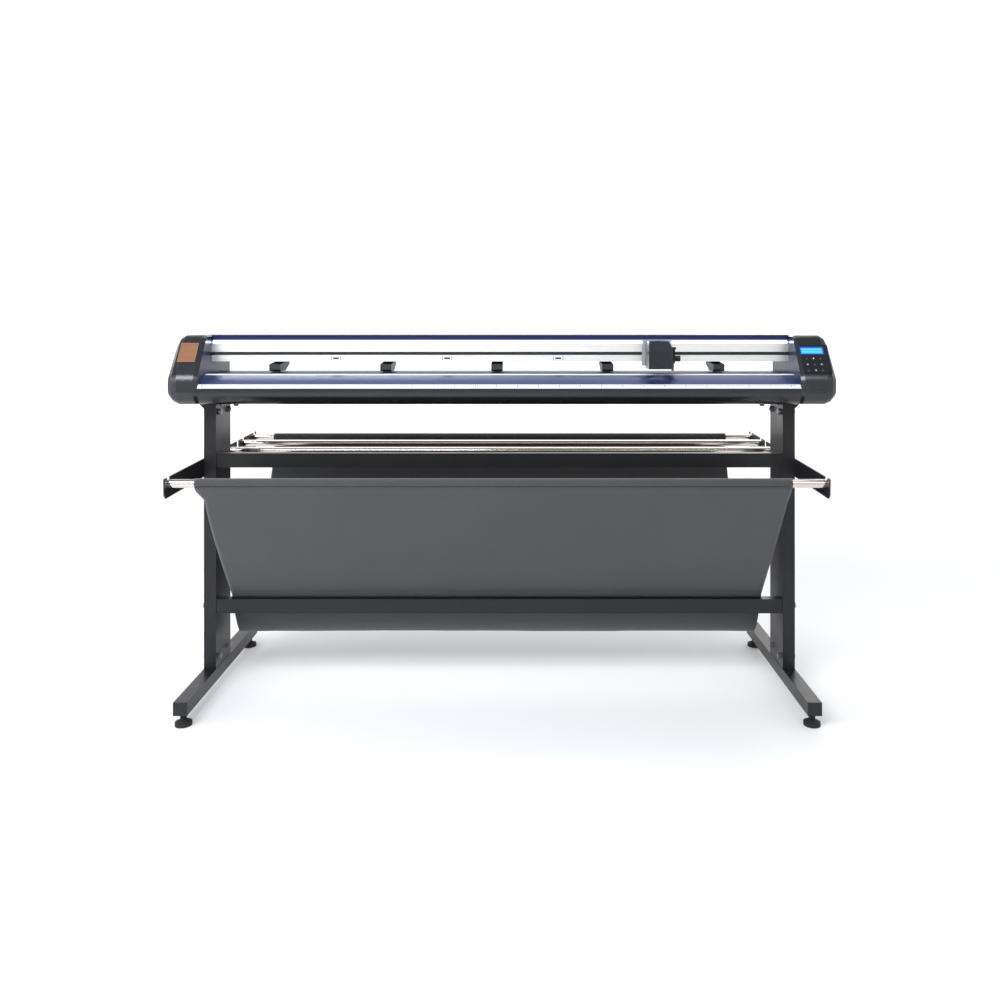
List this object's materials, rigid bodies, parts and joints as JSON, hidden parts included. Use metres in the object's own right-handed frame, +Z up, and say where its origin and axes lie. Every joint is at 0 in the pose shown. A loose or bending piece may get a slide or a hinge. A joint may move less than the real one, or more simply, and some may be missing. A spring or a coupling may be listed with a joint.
{
  "type": "wide-format vinyl cutter",
  "caption": "Wide roll-fed vinyl cutter: a long cutter head between two end caps on a tube stand, with media rollers behind and a cloth catch basket.",
  "frame": {"origin": "on the floor, under the middle of the overall box", "axes": "+X to the operator's right along the head, +Y to the rear, +Z up"},
  "size_m": [1.59, 0.6958, 0.888],
  "materials": {
    "frame_paint": "satin dark grey powder coat",
    "arm_paint": "satin powder coat",
    "plug_plastic": "matt black",
    "pad_rubber": "matt black rubber sole",
    "rod_chrome": "polished chrome tube",
    "cloth": "charcoal woven polyester",
    "bolt_steel": "zinc plated",
    "tray_paint": "satin black blue",
    "platen_paint": "satin dark blue grey",
    "strip_plastic": "off-white plastic",
    "tape_white": "white printed tape",
    "rail_aluminium": "brushed anodised",
    "cover_paint": "satin dark blue",
    "light_diffuser": "milky, lit white",
    "side_paint": "satin dark blue",
    "cap_plastic": "satin dark grey moulded plastic",
    "badge_metal": "plain copper-coloured plate",
    "panel_film": "black membrane",
    "display_blue": "lit blue display",
    "foot_rubber": "matt black",
    "key_plastic": "black key with a pale dot",
    "bar_steel": "ground steel",
    "lever_plastic": "matt black",
    "arm_plastic": "matt black",
    "wheel_rubber": "dark rubber tyre",
    "carriage_metal": "satin aluminium",
    "carriage_plastic": "ribbed black plastic",
    "tool_red": "red anodised",
    "knob_black": "knurled black plastic",
    "motor_black": "black",
    "pulley_metal": "turned aluminium",
    "belt_rubber": "black toothed belt",
    "shaft_steel": "ground steel with grit-coated rollers",
    "board_green": "green board and grey supply",
    "inlet_black": "matt black",
    "switch_red": "gloss red"
  },
  "bodies": {
    "stand_and_head": {"post_left": "frame_paint", "post_right": "frame_paint", "foot_left": "frame_paint", "foot_right": "frame_paint", "foot_end_plugs": "plug_plastic", "lower_beam": "frame_paint", "upper_beam": "frame_paint", "support_arms": "arm_paint", "basket_rods": "rod_chrome", "basket_cloth": "cloth", "stand_bolts": "bolt_steel", "chassis_tray": "tray_paint", "platen": "platen_paint", "cutting_strip": "strip_plastic", "ruler_tape": "tape_white", "gantry_rail": "rail_aluminium", "top_cover": "cover_paint", "light_strip": "light_diffuser", "side_plates": "side_paint", "end_cap_left": "cap_plastic", "end_cap_right": "cap_plastic", "badge_plate": "badge_metal", "control_panel": "panel_film", "display": "display_blue", "head_feet": "foot_rubber", "drive_motors": "motor_black", "drive_belts": "belt_rubber", "electronics": "board_green", "power_inlet": "inlet_black"},
    "carriage": {"carriage_frame": "carriage_metal", "carriage_cover": "carriage_plastic"},
    "tool": {"tool_holder": "tool_red"},
    "clamp_knob": {"clamp_knob": "knob_black"},
    "cross_drive_pulley": {"cross_drive_pulley": "pulley_metal"},
    "cross_idler_pulley": {"cross_idler_pulley": "pulley_metal"},
    "grit_shaft": {"grit_shaft": "shaft_steel"},
    "feed_motor_pulley": {"feed_motor_pulley": "pulley_metal"},
    "lift_lever": {"lift_lever": "lever_plastic"},
    "lift_bar": {"lift_bar": "bar_steel"},
    "power_switch": {"power_switch": "switch_red"},
    "feed_roller_front": {"feed_roller_front": "rod_chrome"},
    "feed_roller_rear": {"feed_roller_rear": "rod_chrome"},
    "pinch_arm_1": {"pinch_arm_1": "arm_plastic"},
    "pinch_wheel_1": {"pinch_wheel_1": "wheel_rubber"},
    "pinch_arm_2": {"pinch_arm_2": "arm_plastic"},
    "pinch_wheel_2": {"pinch_wheel_2": "wheel_rubber"},
    "pinch_arm_3": {"pinch_arm_3": "arm_plastic"},
    "pinch_wheel_3": {"pinch_wheel_3": "wheel_rubber"},
    "pinch_arm_4": {"pinch_arm_4": "arm_plastic"},
    "pinch_wheel_4": {"pinch_wheel_4": "wheel_rubber"},
    "pinch_arm_5": {"pinch_arm_5": "arm_plastic"},
    "pinch_wheel_5": {"pinch_wheel_5": "wheel_rubber"},
    "key_up": {"key_up": "key_plastic"},
    "key_down": {"key_down": "key_plastic"},
    "key_left": {"key_left": "key_plastic"},
    "key_right": {"key_right": "key_plastic"},
    "levelling_foot_front_left": {"levelling_foot_front_left": "pad_rubber"},
    "levelling_foot_front_right": {"levelling_foot_front_right": "pad_rubber"},
    "levelling_foot_rear_left": {"levelling_foot_rear_left": "pad_rubber"},
    "levelling_foot_rear_right": {"levelling_foot_rear_right": "pad_rubber"}
  },
  "joints": [
    {"name": "carriage_travel", "type": "slide", "parent": "stand_and_head", "child": "carriage", "axis": [1, 0, 0], "range_m": [-1.05, 0.26]},
    {"name": "tool_drop", "type": "slide", "parent": "carriage", "child": "tool", "axis": [0, 0, -1], "range_m": [0, 0.004], "stiffness_N_per_m": 600, "springref_m": -0.003},
    {"name": "clamp_turn", "type": "hinge", "parent": "tool", "child": "clamp_knob", "pos_m": [0.423, -0.138, 0.831], "axis": [1, 0, 0], "range_deg": [0, 270]},
    {"name": "cross_drive_spin", "type": "hinge", "parent": "stand_and_head", "child": "cross_drive_pulley", "pos_m": [0.751, -0.081, 0.842], "axis": [0, 0, 1], "range_deg": [-5800, 1440]},
    {"name": "cross_idler_spin", "type": "hinge", "parent": "stand_and_head", "child": "cross_idler_pulley", "pos_m": [-0.745, -0.081, 0.842], "axis": [0, 0, 1], "range_deg": [-5800, 1440]},
    {"name": "grit_spin", "type": "hinge", "parent": "stand_and_head", "child": "grit_shaft", "pos_m": [0, -0.075, 0.7836], "axis": [1, 0, 0], "continuous": true},
    {"name": "feed_motor_spin", "type": "hinge", "parent": "stand_and_head", "child": "feed_motor_pulley", "pos_m": [0.718, -0.005, 0.757], "axis": [1, 0, 0], "continuous": true},
    {"name": "lever_turn", "type": "hinge", "parent": "stand_and_head", "child": "lift_lever", "pos_m": [-0.743, -0.037, 0.8246], "axis": [1, 0, 0], "range_deg": [0, 36]},
    {"name": "lift_turn", "type": "hinge", "parent": "stand_and_head", "child": "lift_bar", "pos_m": [0, -0.015, 0.838], "axis": [-1, 0, 0], "range_deg": [0, 4]},
    {"name": "pinch_slide_1", "type": "slide", "parent": "lift_bar", "child": "pinch_arm_1", "axis": [1, 0, 0], "range_m": [-0.11, 0.11]},
    {"name": "pinch_spin_1", "type": "hinge", "parent": "pinch_arm_1", "child": "pinch_wheel_1", "pos_m": [-0.5665, -0.075, 0.8049], "axis": [1, 0, 0], "continuous": true},
    {"name": "pinch_slide_2", "type": "slide", "parent": "lift_bar", "child": "pinch_arm_2", "axis": [1, 0, 0], "range_m": [-0.11, 0.11]},
    {"name": "pinch_spin_2", "type": "hinge", "parent": "pinch_arm_2", "child": "pinch_wheel_2", "pos_m": [-0.2905, -0.075, 0.8049], "axis": [1, 0, 0], "continuous": true},
    {"name": "pinch_slide_3", "type": "slide", "parent": "lift_bar", "child": "pinch_arm_3", "axis": [1, 0, 0], "range_m": [-0.11, 0.11]},
    {"name": "pinch_spin_3", "type": "hinge", "parent": "pinch_arm_3", "child": "pinch_wheel_3", "pos_m": [-0.0145, -0.075, 0.8049], "axis": [1, 0, 0], "continuous": true},
    {"name": "pinch_slide_4", "type": "slide", "parent": "lift_bar", "child": "pinch_arm_4", "axis": [1, 0, 0], "range_m": [-0.11, 0.11]},
    {"name": "pinch_spin_4", "type": "hinge", "parent": "pinch_arm_4", "child": "pinch_wheel_4", "pos_m": [0.2615, -0.075, 0.8049], "axis": [1, 0, 0], "continuous": true},
    {"name": "pinch_slide_5", "type": "slide", "parent": "lift_bar", "child": "pinch_arm_5", "axis": [1, 0, 0], "range_m": [-0.11, 0.11]},
    {"name": "pinch_spin_5", "type": "hinge", "parent": "pinch_arm_5", "child": "pinch_wheel_5", "pos_m": [0.5375, -0.075, 0.8049], "axis": [1, 0, 0], "continuous": true},
    {"name": "key_up_press", "type": "slide", "parent": "stand_and_head", "child": "key_up", "axis": [0, 0.829, -0.5592], "range_m": [0, 0.0008], "stiffness_N_per_m": 400, "springref_m": -0.0008},
    {"name": "key_down_press", "type": "slide", "parent": "stand_and_head", "child": "key_down", "axis": [0, 0.829, -0.5592], "range_m": [0, 0.0008], "stiffness_N_per_m": 400, "springref_m": -0.0008},
    {"name": "key_left_press", "type": "slide", "parent": "stand_and_head", "child": "key_left", "axis": [0, 0.829, -0.5592], "range_m": [0, 0.0008], "stiffness_N_per_m": 400, "springref_m": -0.0008},
    {"name": "key_right_press", "type": "slide", "parent": "stand_and_head", "child": "key_right", "axis": [0, 0.829, -0.5592], "range_m": [0, 0.0008], "stiffness_N_per_m": 400, "springref_m": -0.0008},
    {"name": "levelling_front_left_turn", "type": "hinge", "parent": "stand_and_head", "child": "levelling_foot_front_left", "pos_m": [-0.7255, -0.2755, 0.01], "axis": [0, 0, 1], "continuous": true},
    {"name": "levelling_front_right_turn", "type": "hinge", "parent": "stand_and_head", "child": "levelling_foot_front_right", "pos_m": [0.7095, -0.2755, 0.01], "axis": [0, 0, 1], "continuous": true},
    {"name": "levelling_rear_left_turn", "type": "hinge", "parent": "stand_and_head", "child": "levelling_foot_rear_left", "pos_m": [-0.7255, 0.2265, 0.01], "axis": [0, 0, 1], "continuous": true},
    {"name": "levelling_rear_right_turn", "type": "hinge", "parent": "stand_and_head", "child": "levelling_foot_rear_right", "pos_m": [0.7095, 0.2265, 0.01], "axis": [0, 0, 1], "continuous": true},
    {"name": "feed_roller_front_spin", "type": "hinge", "parent": "stand_and_head", "child": "feed_roller_front", "pos_m": [-0.008, 0.1012, 0.57318], "axis": [1, 0, 0], "continuous": true},
    {"name": "feed_roller_rear_spin", "type": "hinge", "parent": "stand_and_head", "child": "feed_roller_rear", "pos_m": [-0.008, 0.22214, 0.57698], "axis": [1, 0, 0], "continuous": true},
    {"name": "switch_rock", "type": "hinge", "parent": "stand_and_head", "child": "power_switch", "pos_m": [0.746, 0.049, 0.796], "axis": [0, 0, 1], "range_deg": [0, 12]}
  ],
  "couplings": [
    {"joint": "cross_drive_spin", "follows": "carriage_travel", "rad_per_m": 96.154},
    {"joint": "cross_idler_spin", "follows": "carriage_travel", "rad_per_m": 96.154},
    {"joint": "feed_motor_spin", "follows": "grit_spin", "ratio": 2.573},
    {"joint": "lever_turn", "follows": "lift_turn", "ratio": 9}
  ]
}
